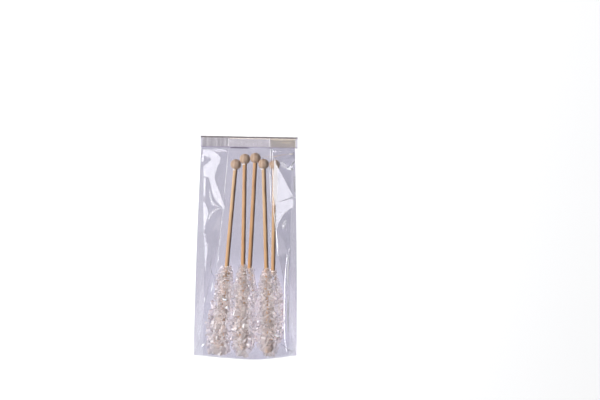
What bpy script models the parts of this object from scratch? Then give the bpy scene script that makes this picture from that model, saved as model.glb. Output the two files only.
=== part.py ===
"""A sealed clear bag of rock candy sticks, lying on its back.

The bag is a gusseted block-bottom bag: a front and a back panel, a pleat tucked in along each side, a
flat bottom, and a mouth pressed flat under a strip that is folded over it. The bag is one closed solid
out to its film, because its contents can't be reached without opening it.

Frame: +X runs across the bag, +Y from its bottom to its mouth, and +Z up through its front panel. The
origin is the centre of the outline, on the surface that the back panel lies on. Lengths are in metres.
"""

import math

import bmesh
import bpy

MM = 0.001

# The outline, seen from the front.
LENGTH = 189 * MM  # from the bottom to the fold of the strip
HALF_WIDTH_MOUTH = 41 * MM
HALF_WIDTH_BOTTOM = 45 * MM  # the filled end spreads
SPREAD_POWER = 1.1

# Heights over the surface that the bag lies on.
FULL_HEIGHT = 44.5 * MM  # the front panel's middle, at the bottom
EDGE_HEIGHT = 30 * MM  # the front panel's two side edges, at the bottom
MIDDLE_POWER = 0.6  # how the middle comes down towards the mouth
EDGE_POWER = 0.8
CROWN_POWER = 2.6  # how square the front panel's crown is

# The three columns of candy that lift the front panel.
COLUMNS = (-22 * MM, -1 * MM, 21 * MM)
COLUMN_SPREAD = 7 * MM
COLUMN_LIFT = 1.5 * MM

# The pleat along each side, whose crease lies this far inside the side edges.
TUCK_BOTTOM = 5 * MM
TUCK_MOUTH = 22.5 * MM
TUCK_POWERS = {-1: 0.65, 1: 0.9}  # the candy pushes the right-hand pleat further out
PLEAT_CLOSES = (0.90, 0.99)  # over this share of the length the pressed mouth swallows the pleat

# The pressed mouth, which carries on as a tongue inside the strip.
MOUTH_HEIGHT = 6 * MM  # its middle plane, over the surface
TONGUE_THICK = 1.2 * MM
TONGUE_END_GAP = 1.5 * MM  # from the tongue's end to the outside of the fold
BACK_RISE_START = 0.94  # the back panel leaves the surface here, as a share of the length

# The strip folded over the mouth.
STRIP_HEIGHT = 10 * MM
STRIP_ENDS = (-41.6 * MM, 43.2 * MM)
STRIP_WALL = 0.5 * MM
TOUCH_GAP = 0.3 * MM
FOLD_SEGMENTS = 8

# Rounding where the bottom is folded up, and how finely the bag is divided.
BOTTOM_ROUND = 1.2 * MM
FRONT_SEGMENTS = 18
PLEAT_SEGMENTS = 3
BACK_SEGMENTS = 6
STATIONS = 30

BOTTOM_Y = -LENGTH / 2
FOLD_Y = LENGTH / 2
MOUTH_Y = FOLD_Y - STRIP_HEIGHT


def clear_scene():
    for old in list(bpy.data.objects):
        bpy.data.objects.remove(old, do_unlink=True)


def smooth_step(low, high, value):
    share = min(max((value - low) / (high - low), 0.0), 1.0)
    return share * share * (3 - 2 * share)


def mix(a, b, share):
    return a + (b - a) * share


def material(name, colour, roughness, alpha=1.0):
    made = bpy.data.materials.new(name)
    made.use_nodes = True
    shader = made.node_tree.nodes["Principled BSDF"]
    shader.inputs["Base Color"].default_value = (*colour, 1)
    shader.inputs["Roughness"].default_value = roughness
    shader.inputs["Metallic"].default_value = 0.0
    shader.inputs["Alpha"].default_value = alpha
    return made


def add_object(name, shape, surface):
    """A mesh object made from a bmesh, with its faces pointing out and its round stretches smooth."""
    bmesh.ops.recalc_face_normals(shape, faces=shape.faces)
    mesh = bpy.data.meshes.new(name)
    shape.to_mesh(mesh)
    shape.free()
    mesh.materials.append(surface)
    mesh.shade_smooth()
    mesh.set_sharp_from_angle(angle=math.radians(35))
    made = bpy.data.objects.new(name, mesh)
    bpy.context.scene.collection.objects.link(made)
    return made


def loft(shape, rings):
    """Closes a stack of equal rings of points into one skin, with a flat face over each end."""
    rows = [[shape.verts.new(point) for point in ring] for ring in rings]
    count = len(rows[0])
    for lower, upper in zip(rows, rows[1:]):
        for i in range(count):
            j = (i + 1) % count
            shape.faces.new((lower[i], lower[j], upper[j], upper[i]))
    shape.faces.new(rows[0])
    shape.faces.new(rows[-1])


# The bag's measures at a share of the way from its bottom (0) to its mouth (1).


def half_width(share):
    return mix(HALF_WIDTH_MOUTH, HALF_WIDTH_BOTTOM, (1 - share) ** SPREAD_POWER)


def middle_height(share):
    top = MOUTH_HEIGHT + TONGUE_THICK / 2
    return mix(top, FULL_HEIGHT, (1 - share) ** MIDDLE_POWER)


def edge_height(share):
    top = MOUTH_HEIGHT + TONGUE_THICK / 2
    return mix(top, EDGE_HEIGHT, (1 - share) ** EDGE_POWER)


def back_height(share):
    low = MOUTH_HEIGHT - TONGUE_THICK / 2
    return low * smooth_step(BACK_RISE_START, 1.0, share)


def front_height(share, x):
    """The front panel: a crown between its side edges, lifted a little over each column of candy."""
    across = min(abs(x) / half_width(share), 1.0)
    crown = 1 - across**CROWN_POWER
    lift = sum(math.exp(-(((x - column) / COLUMN_SPREAD) ** 2)) for column in COLUMNS)
    lifted = COLUMN_LIFT * (lift - 1) * crown * (1 - share)
    return mix(edge_height(share), middle_height(share), crown) + lifted


def tuck(share, side):
    """How far a pleat's crease lies inside the side edges."""
    depth = mix(TUCK_BOTTOM, TUCK_MOUTH, share ** TUCK_POWERS[side])
    return depth * (1 - smooth_step(*PLEAT_CLOSES, share))


def pleat(share, side):
    """The side's points from the front panel's edge, in to the crease and out to the back panel's edge."""
    wide, high, low = half_width(share), edge_height(share), back_height(share)
    inner = wide - tuck(share, side)
    points = []
    for i in range(1, 2 * PLEAT_SEGMENTS):
        towards = abs(i / PLEAT_SEGMENTS - 1)  # 1 at either edge, 0 at the crease
        x = side * mix(inner, wide, towards)
        points.append((x, mix(high, low, i / (2 * PLEAT_SEGMENTS))))
    return points


def section(share):
    """The bag's outline (x, z) at one station: front panel, right pleat, back panel, left pleat."""
    wide, low = half_width(share), back_height(share)
    front_x = [mix(-wide, wide, i / FRONT_SEGMENTS) for i in range(FRONT_SEGMENTS + 1)]
    back_x = [mix(wide, -wide, i / BACK_SEGMENTS) for i in range(BACK_SEGMENTS + 1)]
    points = [(x, front_height(share, x)) for x in front_x]
    points += pleat(share, 1)
    points += [(x, low) for x in back_x]
    points += reversed(pleat(share, -1))
    return points


def shrunk(points, by):
    """A section drawn in towards its middle, for the rounding of the bottom edge."""
    middle_z = sum(z for _, z in points) / len(points)
    wide = max(x for x, _ in points)
    high = max(z for _, z in points)
    across, along = 1 - by / wide, 1 - 2 * by / high
    return [(x * across, middle_z + (z - middle_z) * along) for x, z in points]


def build_bag(surface):
    """The filled bag, from its folded bottom to the tongue inside the strip."""
    shape = bmesh.new()
    bottom = section(0.0)
    rings = [[(x, BOTTOM_Y, z) for x, z in shrunk(bottom, BOTTOM_ROUND)]]
    first_y = BOTTOM_Y + BOTTOM_ROUND
    for i in range(STATIONS + 1):
        share = math.sin(math.pi / 2 * i / STATIONS)  # stations crowd towards the mouth
        y = mix(first_y, MOUTH_Y, share)
        rings.append([(x, y, z) for x, z in section(share)])
    tongue_end = FOLD_Y - TONGUE_END_GAP
    rings.append([(x, tongue_end, z) for x, z in section(1.0)])
    loft(shape, rings)
    return add_object("bag", shape, surface)


def fold_profile(thick, top_y):
    """Half-round end of the folded strip, as (y, z) from its back to its front."""
    radius = thick / 2
    turns = [math.pi * i / FOLD_SEGMENTS for i in range(FOLD_SEGMENTS + 1)]
    centre_y = top_y - radius
    return [
        (centre_y + radius * math.sin(turn), MOUTH_HEIGHT - radius * math.cos(turn))
        for turn in turns
    ]


def build_seal_strip(surface):
    """The strip folded over the mouth: a front and a back flap joined by a half-round fold."""
    inner = TONGUE_THICK + 2 * TOUCH_GAP
    outer = inner + 2 * STRIP_WALL
    low_y = MOUTH_Y + TOUCH_GAP
    profile = [(low_y, MOUTH_HEIGHT - outer / 2)]
    profile += fold_profile(outer, FOLD_Y)
    profile += [(low_y, MOUTH_HEIGHT + outer / 2), (low_y, MOUTH_HEIGHT + inner / 2)]
    profile += reversed(fold_profile(inner, FOLD_Y - STRIP_WALL))
    profile += [(low_y, MOUTH_HEIGHT - inner / 2)]
    shape = bmesh.new()
    loft(shape, [[(x, y, z) for y, z in profile] for x in STRIP_ENDS])
    return add_object("seal_strip", shape, surface)


clear_scene()
build_bag(material("clear_film", (0.50, 0.49, 0.58), 0.12, alpha=0.45))
build_seal_strip(material("seal_strip", (0.55, 0.52, 0.54), 0.25, alpha=0.8))
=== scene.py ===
"""The looks of a sealed clear bag of rock candy sticks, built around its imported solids.

The bag's solid is replaced by clear film and by what shows through it: sticks of turned wood with sugar
crystals grown round their lower ends. The strip's solid is replaced by folded, ribbed film. Everything is
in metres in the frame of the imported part: +X across the bag, +Y towards its mouth, +Z out of its front.
"""

import math
import random

import bmesh
import bpy
import numpy as np
from mathutils import Matrix, Vector


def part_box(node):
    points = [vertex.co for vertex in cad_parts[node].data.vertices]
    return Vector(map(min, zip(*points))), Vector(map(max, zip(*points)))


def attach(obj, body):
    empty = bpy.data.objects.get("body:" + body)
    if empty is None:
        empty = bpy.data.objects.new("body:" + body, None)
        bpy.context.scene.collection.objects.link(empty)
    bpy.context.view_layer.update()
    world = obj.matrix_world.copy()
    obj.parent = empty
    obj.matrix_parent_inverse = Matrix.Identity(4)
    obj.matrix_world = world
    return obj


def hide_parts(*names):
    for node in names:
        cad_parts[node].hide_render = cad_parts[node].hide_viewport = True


MM = 0.001

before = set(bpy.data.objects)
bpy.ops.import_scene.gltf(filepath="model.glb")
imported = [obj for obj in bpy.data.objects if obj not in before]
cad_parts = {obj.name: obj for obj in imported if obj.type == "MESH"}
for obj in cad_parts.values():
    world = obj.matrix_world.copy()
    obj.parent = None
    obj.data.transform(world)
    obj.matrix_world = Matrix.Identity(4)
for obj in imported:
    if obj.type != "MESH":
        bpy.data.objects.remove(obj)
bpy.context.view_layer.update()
bag_low, bag_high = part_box("bag")
strip_low, strip_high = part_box("seal_strip")
scene = bpy.context.scene

# ---------------------------------------------------------------------------------------------------
# Node helpers.


class Nodes:
    """The node tree of a material or a world, with short calls for the nodes that this script uses."""

    def __init__(self, owner):
        self.owner = owner
        owner.use_nodes = True
        self.tree = owner.node_tree

    def put(self, socket, value):
        if isinstance(value, bpy.types.NodeSocket):
            self.tree.links.new(value, socket)
        else:
            socket.default_value = value

    def fill(self, node, **inputs):
        for key, value in inputs.items():
            self.put(node.inputs[key.replace("_", " ")], value)
        return node

    def add(self, kind, settings=None, **inputs):
        node = self.tree.nodes.new(kind)
        for key, value in (settings or {}).items():
            setattr(node, key, value)
        return self.fill(node, **inputs)

    def math(self, operation, first, second=0.0):
        node = self.add("ShaderNodeMath", {"operation": operation})
        self.put(node.inputs[0], first)
        self.put(node.inputs[1], second)
        return node.outputs[0]

    def weigh(self, first, share, second, other_share):
        """The sum of two values, each taken as a share."""
        first, second = self.math("MULTIPLY", first, share), self.math("MULTIPLY", second, other_share)
        return self.math("ADD", first, second)

    def axis(self, source, letter):
        """One coordinate of a place or of the way that a surface faces."""
        whole = self.add("ShaderNodeTexCoord").outputs[source]
        return self.add("ShaderNodeSeparateXYZ", Vector=whole).outputs[letter]

    def between(self, value, *span):
        """A value carried from one range into another, which is 0 to 1 unless it is given."""
        node = self.add("ShaderNodeMapRange", Value=value)
        for name, end in zip(("From Min", "From Max", "To Min", "To Max"), span):
            node.inputs[name].default_value = end
        return node.outputs[0]

    def stretched(self, scale):
        place = self.add("ShaderNodeTexCoord").outputs["Object"]
        return self.add("ShaderNodeMapping", Scale=scale, Vector=place).outputs[0]

    def noise(self, vector, scale, detail=3.0, roughness=0.5):
        node = self.add("ShaderNodeTexNoise", Vector=vector, Scale=scale)
        return self.fill(node, Detail=detail, Roughness=roughness).outputs["Fac"]

    def ramp(self, factor, stops):
        node = self.add("ShaderNodeValToRGB")
        self.put(node.inputs[0], factor)
        elements = node.color_ramp.elements
        while len(elements) < len(stops):
            elements.new(0.5)
        for element, (place, colour) in zip(elements, stops):
            element.position = place
            element.color = (*colour, 1)
        return node.outputs[0]

    def bump(self, height, strength, distance):
        return self.add("ShaderNodeBump", Strength=strength, Distance=distance, Height=height).outputs[0]

    def blend(self, share, first, second):
        """One colour turning into another."""
        node = self.add("ShaderNodeMix", {"data_type": "RGBA"})
        for index, value in ((0, share), (6, first), (7, second)):
            self.put(node.inputs[index], value)
        return node.outputs[2]

    def blend_shaders(self, share, first, second):
        node = self.add("ShaderNodeMixShader")
        for socket, value in zip(node.inputs, (share, first, second)):
            self.put(socket, value)
        return node.outputs[0]

    def face_value(self, name):
        return self.add("ShaderNodeAttribute", {"attribute_name": name}).outputs["Fac"]


def new_material(name):
    return Nodes(bpy.data.materials.new(name))


def principled(name, **inputs):
    nodes = new_material(name)
    nodes.shader = nodes.fill(nodes.tree.nodes["Principled BSDF"], **inputs)
    return nodes


# ---------------------------------------------------------------------------------------------------
# Camera: above the bag's front panel, tipped a little towards the mouth.

CAMERA_TARGET = Vector((0, 0, 18 * MM))
CAMERA_DISTANCE = 820 * MM
CAMERA_TIP = math.radians(10)
CAMERA_ROLL = math.radians(1.2)
CAMERA_LENS = 56.0
CAMERA_SENSOR = 36.0
CAMERA_CLIP = (0.01, 100.0)
AIM = Vector((45.8 * MM, 42.05 * MM, 18 * MM))  # the point that the camera looks at
UP_THE_BAG = Vector((0, 1, 0))


def add_turned(name, data, place, right, up, back):
    """Adds a camera or a lamp, which both look down their own -Z."""
    made = bpy.data.objects.new(name, data)
    scene.collection.objects.link(made)
    made.location = place
    made.rotation_mode = "QUATERNION"
    made.rotation_quaternion = Matrix((right, up, back)).transposed().to_quaternion()
    return made


def make_camera():
    data = bpy.data.cameras.new("camera")
    data.lens = CAMERA_LENS
    data.sensor_width = CAMERA_SENSOR
    data.clip_start, data.clip_end = CAMERA_CLIP
    place = CAMERA_TARGET + Vector((0, math.sin(CAMERA_TIP), math.cos(CAMERA_TIP))) * CAMERA_DISTANCE
    ahead = (AIM - place).normalized()
    up = (UP_THE_BAG - ahead * UP_THE_BAG.dot(ahead)).normalized()
    up = Matrix.Rotation(-CAMERA_ROLL, 3, ahead) @ up
    scene.camera = add_turned("camera", data, place, ahead.cross(up), up, -ahead)


# ---------------------------------------------------------------------------------------------------
# Light: a long soft box on either side, high over the bag, that only draw the film's folds with their
# reflections, a large one from the left that models the sticks, and a pale room.

ROOM_LIGHT = (0.42, 0.425, 0.44)  # the room's left side
ROOM_DARK = (0.10, 0.10, 0.105)  # its right side
FLOOR_DROP = 0.3 * MM
FLOOR_SIZE = 30.0

SOFT_BOXES = (
    # name, direction from the bag, distance, width, length, watts
    ("left_box", (-0.43, -0.05, 0.89), 1.90, 0.46, 2.20, 24.0),
    ("right_box", (0.43, 0.02, 0.89), 1.90, 0.12, 1.80, 8.0),
    ("key_box", (-0.78, 0.20, 0.60), 3.00, 1.10, 1.60, 150.0),
)
MIRRORED_BOXES = ("left_box", "right_box")
CLEAR_LAYERS = 32  # how many layers of film a ray may pass
CRYSTAL_BOUNCES = 20


def make_room():
    """A pale room that darkens from the left to the right."""
    nodes = Nodes(bpy.data.worlds.new("room"))
    across = nodes.between(nodes.axis("Generated", "X"), -1.0, 1.0)
    colour = nodes.ramp(across, ((0.25, ROOM_LIGHT), (0.75, ROOM_DARK)))
    nodes.fill(nodes.tree.nodes["Background"], Color=colour)
    return nodes.owner


def make_lights():
    for name, direction, distance, width, length, watts in SOFT_BOXES:
        data = bpy.data.lights.new(name, "AREA")
        data.shape = "RECTANGLE"
        data.size = width
        data.size_y = length
        data.energy = watts
        away = Vector(direction).normalized()
        side = UP_THE_BAG.cross(away).normalized()
        light = add_turned(name, data, CAMERA_TARGET + away * distance, side, away.cross(side), away)
        light.visible_camera = False
        light.visible_diffuse = name not in MIRRORED_BOXES
        light.visible_glossy = name in MIRRORED_BOXES
    scene.world = make_room()
    scene.view_settings.view_transform = "Standard"
    scene.cycles.transparent_max_bounces = CLEAR_LAYERS
    scene.cycles.max_bounces = CRYSTAL_BOUNCES
    scene.cycles.transmission_bounces = CRYSTAL_BOUNCES


# ---------------------------------------------------------------------------------------------------
# Materials: film.

FILM_ROUGHNESS = 0.045
FILM_HAZE = 0.04  # how dull the film is where it is most smeared
FILM_DULL = (0.80, 0.80, 0.86)
FILM_POWER = 5.0  # how late its mirroring rises as it is seen flatter
# The back film's tint is the film's lavender and painted shade: it darkens the floor seen through it as the
# film's shadow would, since the film casts none.
BACK_TINT = (0.50, 0.49, 0.575)
VEIL_MIRROR, VEIL_RISE, VEIL_POWER = 0.05, 0.7, 4.0


def film_surface(nodes, tint, dull_colour, dull_share, roughness, mirror, rise, power, normal=None):
    """Clear film with a dull share, under a gloss that mirrors more the flatter it is seen."""
    nodes.tree.nodes.remove(nodes.tree.nodes["Principled BSDF"])
    through = nodes.add("ShaderNodeBsdfTransparent", Color=(*tint, 1)).outputs[0]
    dull = nodes.add("ShaderNodeBsdfDiffuse", Color=dull_colour).outputs[0]
    gloss = nodes.add("ShaderNodeBsdfAnisotropic", Color=(1, 1, 1, 1), Roughness=roughness)
    if normal is not None:
        nodes.fill(gloss, Normal=normal)
    facing = nodes.add("ShaderNodeLayerWeight", Blend=0.5).outputs["Facing"]
    risen = nodes.math("MULTIPLY", nodes.math("POWER", facing, power), rise)
    body = nodes.blend_shaders(dull_share, through, dull)
    both = nodes.blend_shaders(nodes.math("ADD", risen, mirror), body, gloss.outputs[0])
    nodes.fill(nodes.tree.nodes["Material Output"], Surface=both)
    return nodes.owner


def film_material(name, tint, mirror, edge=1.0):
    """Clear film: it tints a little what shows through it, and mirrors up to edge where it is seen flat."""
    nodes = new_material(name)
    ripple = nodes.noise(nodes.stretched((1, 0.22, 1)), 70.0, 2.0)
    smear = nodes.noise(nodes.stretched((1, 0.5, 1)), 45.0, 4.0, 0.6)
    haze = nodes.math("MULTIPLY", smear, FILM_HAZE)
    bump = nodes.bump(ripple, 0.35, 0.4 * MM)
    dull = (*FILM_DULL, 1)
    return film_surface(nodes, tint, dull, haze, FILM_ROUGHNESS, mirror, edge - mirror, FILM_POWER, bump)


def veil(nodes, tint, dull_colour, share, roughness, scratched=1.0):
    """Film that is milky with fine scratches: a share of it is dull and the rest clear."""
    grain = nodes.noise(nodes.stretched((1, 0.06, 1)), 900.0, 2.0)
    uneven = nodes.math("MULTIPLY", nodes.math("SUBTRACT", grain, 0.5), share * scratched)
    milky = nodes.math("ADD", uneven, share)
    return film_surface(nodes, tint, dull_colour, milky, roughness, VEIL_MIRROR, VEIL_RISE, VEIL_POWER)


def veil_material(name, tint, dull_colour, share, roughness, scratched=1.0):
    return veil(new_material(name), tint, (*dull_colour, 1), share, roughness, scratched)


STRIP_TONES = (
    # share of the way from its left end to its right end, colour of its milky part
    (0.0, (0.46, 0.43, 0.44)),
    (0.285, (0.44, 0.41, 0.42)),
    (0.295, (0.60, 0.57, 0.59)),
    (0.71, (0.60, 0.57, 0.59)),
    # painted reflection: warm brown towards the strip's right end
    (0.72, (0.40, 0.36, 0.32)),
    (1.0, (0.46, 0.41, 0.34)),
)
PLEAT_SHARE = 0.285  # the left-hand pleat reaches so far along the strip
# painted shade and sheen of the ribs, in fine stripes
RIB_PAINTED_SHADE, RIB_PAINTED_SHEEN = (0.34, 0.32, 0.33), (0.62, 0.59, 0.60)


def strip_material():
    """The strip's ribs over the pleat at its left are painted in fine dark and pale stripes of shade and
    sheen, and its right end is warm with a painted reflection.
    """
    nodes = new_material("pressed_film")
    across = nodes.between(nodes.axis("Object", "X"), strip_low.x, strip_high.x)
    ribs = nodes.noise(nodes.stretched((1, 0.02, 0.02)), 520.0, 1.0)
    ribbed = nodes.ramp(ribs, ((0.40, RIB_PAINTED_SHADE), (0.62, RIB_PAINTED_SHEEN)))
    over_pleat = nodes.math("LESS_THAN", across, PLEAT_SHARE)
    colour = nodes.blend(over_pleat, nodes.ramp(across, STRIP_TONES), ribbed)
    return veil(nodes, (0.97, 0.965, 0.97), colour, 0.30, 0.12)


# ---------------------------------------------------------------------------------------------------
# Materials: wood and sugar.

SYRUP = (25 * MM, 92 * MM, 0.0, 0.6)  # down the stick from, to, and how soaked it is there
SYRUP_COLOUR = (0.42, 0.205, 0.065)
# Painted shade: each stick darkens down its right side, which faces away from the key light.
PAINTED_SHADE_COLOUR = (0.13, 0.06, 0.025)
PAINTED_SHADE_START = 0.42  # wood that faces so far to the right gets painted shade
PAINTED_SHADE_FADE = 0.22
PAINTED_SHADE_RAGGED = 0.8


def dowel_material(name, light, dark):
    """Turned wood, grained along its length, browner towards the candy, with painted shade down its right
    side.
    """
    nodes = principled(name, Roughness=0.5, Specular_IOR_Level=0.35)
    streaks = nodes.noise(nodes.stretched((900, 900, 26)), 1.0, 4.0, 0.6)
    clouds = nodes.noise(nodes.stretched((160, 160, 60)), 1.0, 2.0)
    colour = nodes.ramp(nodes.weigh(streaks, 0.6, clouds, 0.4), ((0.34, dark), (0.60, light)))
    soaked = nodes.between(nodes.axis("Object", "Z"), *SYRUP)
    colour = nodes.blend(soaked, colour, (*SYRUP_COLOUR, 1))
    # a stick's own +X is at its left
    # painted shade: wood that faces right is coloured dark brown, with a ragged edge
    ragged = nodes.math("MULTIPLY", nodes.math("SUBTRACT", clouds, 0.5), PAINTED_SHADE_RAGGED)
    turned = nodes.math("ADD", nodes.math("ADD", nodes.axis("Normal", "X"), PAINTED_SHADE_START), ragged)
    painted_shade = nodes.ramp(turned, ((0.0, (1, 1, 1)), (PAINTED_SHADE_FADE, (0, 0, 0))))
    colour = nodes.blend(painted_shade, colour, (*PAINTED_SHADE_COLOUR, 1))
    nodes.fill(nodes.shader, Base_Color=colour, Normal=nodes.bump(streaks, 0.3, 0.15 * MM))
    return nodes.owner


def ball_material():
    """A turned ball: pale beech with faint rings of grain across it and fine flecks."""
    nodes = principled("ball_wood", Roughness=0.55, Specular_IOR_Level=0.3)
    rings = nodes.add(
        "ShaderNodeTexWave",
        {"wave_type": "RINGS", "rings_direction": "X"},
        Vector=nodes.stretched((1, 1, 1)),
        Scale=260.0,
        Distortion=2.5,
        Detail=2.0,
        Detail_Scale=1.5,
    )
    flecks = nodes.noise(nodes.stretched((1, 1, 0.3)), 1500.0, 3.0, 0.6)
    grain = nodes.weigh(rings.outputs["Fac"], 0.35, flecks, 0.65)
    colour = nodes.ramp(grain, ((0.22, (0.27, 0.17, 0.11)), (0.62, (0.42, 0.30, 0.215))))
    nodes.fill(nodes.shader, Base_Color=colour, Normal=nodes.bump(grain, 0.25, 0.1 * MM))
    return nodes.owner


def sugared_material():
    """Wood in blotches between the roots of the crystals."""
    nodes = principled("sugared_wood", Roughness=0.6)
    blotches = nodes.noise(nodes.stretched((1, 1, 1)), 420.0, 3.0, 0.6)
    colour = nodes.ramp(blotches, ((0.44, (0.13, 0.055, 0.022)), (0.54, (0.62, 0.50, 0.44))))
    nodes.fill(nodes.shader, Base_Color=colour)
    return nodes.owner


CANDY_COLOURS = (  # over the crystals' own colour, by how much of it a face has
    ("thin", (0.57, 0.54, 0.62)),  # where the sugar is thin the film behind it shows through
    ("crevice_shade_and_bare_wood", (0.25, 0.15, 0.085)),  # painted shade in the crevices near the stick, in the stick's brown, and bare wood in the flecks
    ("painted_glint", (0.96, 0.95, 0.98)),  # painted highlight: faces coloured near white as if they mirrored the light
)


def candy_material(name, pale, deep, clearness):
    """Sugar crystals: part clear and part milky, a little warmer in patches, with painted shade in the
    crevices near the stick and painted highlights on a few faces.
    """
    nodes = principled(
        name,
        IOR=1.54,
        Subsurface_Weight=1.0,
        Subsurface_Scale=4.0 * MM,
        Subsurface_Radius=(1.0, 0.85, 0.75),
        Specular_IOR_Level=0.12,
    )
    clouds = nodes.noise(nodes.stretched((1, 1, 1)), 230.0, 3.0, 0.55)
    grains = nodes.noise(nodes.stretched((1, 1, 1)), 900.0, 2.0, 0.5)
    colour = nodes.ramp(nodes.weigh(clouds, 0.7, grains, 0.3), ((0.36, deep), (0.60, pale)))
    for kind, other in CANDY_COLOURS:
        colour = nodes.blend(nodes.face_value(kind), colour, (*other, 1))
    solid = nodes.math("MAXIMUM", nodes.face_value("crevice_shade_and_bare_wood"), nodes.face_value("painted_glint"))
    clear = nodes.math("MULTIPLY", nodes.math("SUBTRACT", 1.0, solid), clearness)
    frost = nodes.math("ADD", nodes.math("MULTIPLY", grains, 0.2), 0.08)
    bump = nodes.bump(grains, 0.15, 0.25 * MM)
    nodes.fill(nodes.shader, Base_Color=colour, Transmission_Weight=clear, Roughness=frost, Normal=bump)
    return nodes.owner


def floor_material():
    nodes = principled("pale_floor", Roughness=0.9, Specular_IOR_Level=0.0)
    mottle = nodes.noise(nodes.stretched((1, 1, 1)), 3.0, 2.0)
    colour = nodes.ramp(mottle, ((0.3, (0.95, 0.95, 0.95)), (0.7, (0.96, 0.96, 0.96))))
    nodes.fill(nodes.shader, Base_Color=colour)
    return nodes.owner


# ---------------------------------------------------------------------------------------------------
# Mesh helpers.


def add_mesh(name, points, faces, materials, face_slots=None, sharp=35.0):
    mesh = bpy.data.meshes.new(name)
    mesh.from_pydata([tuple(p) for p in points], [], faces)
    for surface in materials:
        mesh.materials.append(surface)
    if face_slots is not None:
        mesh.polygons.foreach_set("material_index", face_slots)
    mesh.validate()
    shape = bmesh.new()
    shape.from_mesh(mesh)
    bmesh.ops.recalc_face_normals(shape, faces=shape.faces)
    shape.to_mesh(mesh)
    shape.free()
    mesh.shade_smooth()
    mesh.set_sharp_from_angle(angle=math.radians(sharp))
    return add_object(name, mesh)


def add_object(name, mesh):
    made = bpy.data.objects.new(name, mesh)
    scene.collection.objects.link(made)
    return made


def tube_faces(rows, columns):
    """Quads between closed rings that are stored one after the other."""
    faces = []
    for r in range(rows - 1):
        low, high = r * columns, (r + 1) * columns
        for c in range(columns):
            d = (c + 1) % columns
            faces.append((low + c, low + d, high + d, high + c))
    return faces


def closed_faces(rows, columns):
    """A tube's quads, and a face over either end."""
    last = (rows - 1) * columns
    return tube_faces(rows, columns) + [tuple(range(columns)), tuple(range(last, last + columns))]


def dress(piece, slot, *nodes):
    piece.visible_shadow = False  # the light comes through the film and the sugar
    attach(piece, "root")
    if nodes:
        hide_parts(*nodes)


def smooth_step(low, high, value):
    share = np.clip((value - low) / (high - low), 0.0, 1.0)
    return share * share * (3 - 2 * share)


def mix(a, b, share):
    return a + (b - a) * share


# ---------------------------------------------------------------------------------------------------
# The bag's film. Its measures follow its solid.

STRIP_UP = 1.5 * MM  # the strip's edges sit a little higher than its solid's
BOTTOM_Y = bag_low.y
MOUTH_Y = strip_low.y + STRIP_UP
TONGUE_Y = strip_high.y + STRIP_UP - 1.8 * MM  # the tongue ends under the fold
BAG_LENGTH = MOUTH_Y - BOTTOM_Y
HALF_WIDTH_MOUTH = 41 * MM
HALF_WIDTH_BOTTOM = bag_high.x
SPREAD_POWER = 1.1
SIDE_BULGE = 0.7 * MM
BACK_FLARE = 0.055  # how much the back panel is wider, as a share of the side edges' height
FULL_HEIGHT = 44.3 * MM
EDGE_HEIGHT = 30 * MM
MIDDLE_POWER = 0.6
EDGE_POWER = 0.8
MOUTH_HEIGHT = (strip_low.z + strip_high.z) / 2
HALF_TONGUE = 0.55 * MM
FRONT_AT_MOUTH = MOUTH_HEIGHT + HALF_TONGUE
BACK_AT_MOUTH = MOUTH_HEIGHT - HALF_TONGUE
BACK_LIFT = 0.15 * MM
BACK_RISE_START = 0.94

# The front panel is a gentle arch between two creases, outside which it slopes down to its side edges.
CREASES = (-36.3 * MM, 37.6 * MM)
ARCH = 0.20  # how much of the drop from the middle to the edges is arch
SOFT_CREASE = 3.2 * MM  # where a crease is rounder it catches the light in a streak
HARD_CREASE = 0.02 * MM
CREASE_STREAKS = {-1: (), 1: ((6, 95),)}  # (from, to) in millimetres over the bottom

# The panel rolls down to the bottom fold, whose own outline is a lower arch.
BOTTOM_PEAK = (8 * MM, 41.5 * MM)  # where across, how high
BOTTOM_CORNERS = 28.5 * MM
BOTTOM_POWER = 1.7
ROLL = 2.6 * MM  # how far up the bag the roll has died away to about a third
CROWN_FADE = 0.93  # over the last of its length the panel's undulation dies away

# The stretched front panel's shallow undulation: height, pitch, phase, and how it wanders up the bag.
UNDULATION = (
    (0.10 * MM, 5.3 * MM, 0.0, 0.6, 31 * MM),
    (0.07 * MM, 2.9 * MM, 1.7, 0.8, 19 * MM),
)

# How far each pleat's crease lies inside the side edge: millimetres over the bottom, millimetres in.
TUCKS = {
    -1: ((0, 0), (8, 4), (40, 8), (70, 13), (100, 19), (120, 21), (130, 23), (140, 22.5), (181, 24)),
    1: ((0, 0), (8, 3), (50, 8), (75, 13), (92, 17), (110, 18.5), (131, 20.5), (157, 21.5), (181, 21.5)),
}

PLEAT_FOLD = 0.5 * MM  # the radius of each pleat's crease
LOWER_BOW = 0.10  # how much a pleat's lower leaf sags, as a share of its height

PANEL_COLUMNS = 101
SLOPE_COLUMNS = 9
FRONT_COLUMNS = PANEL_COLUMNS + 2 * SLOPE_COLUMNS
LEAF_COLUMNS = 42
LOWER_COLUMNS = 12
FOLD_COLUMNS = 4
BACK_COLUMNS = 41
BAG_ROWS = 240
TONGUE_ROWS = 5
BOTTOM_RINGS = 14

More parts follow.
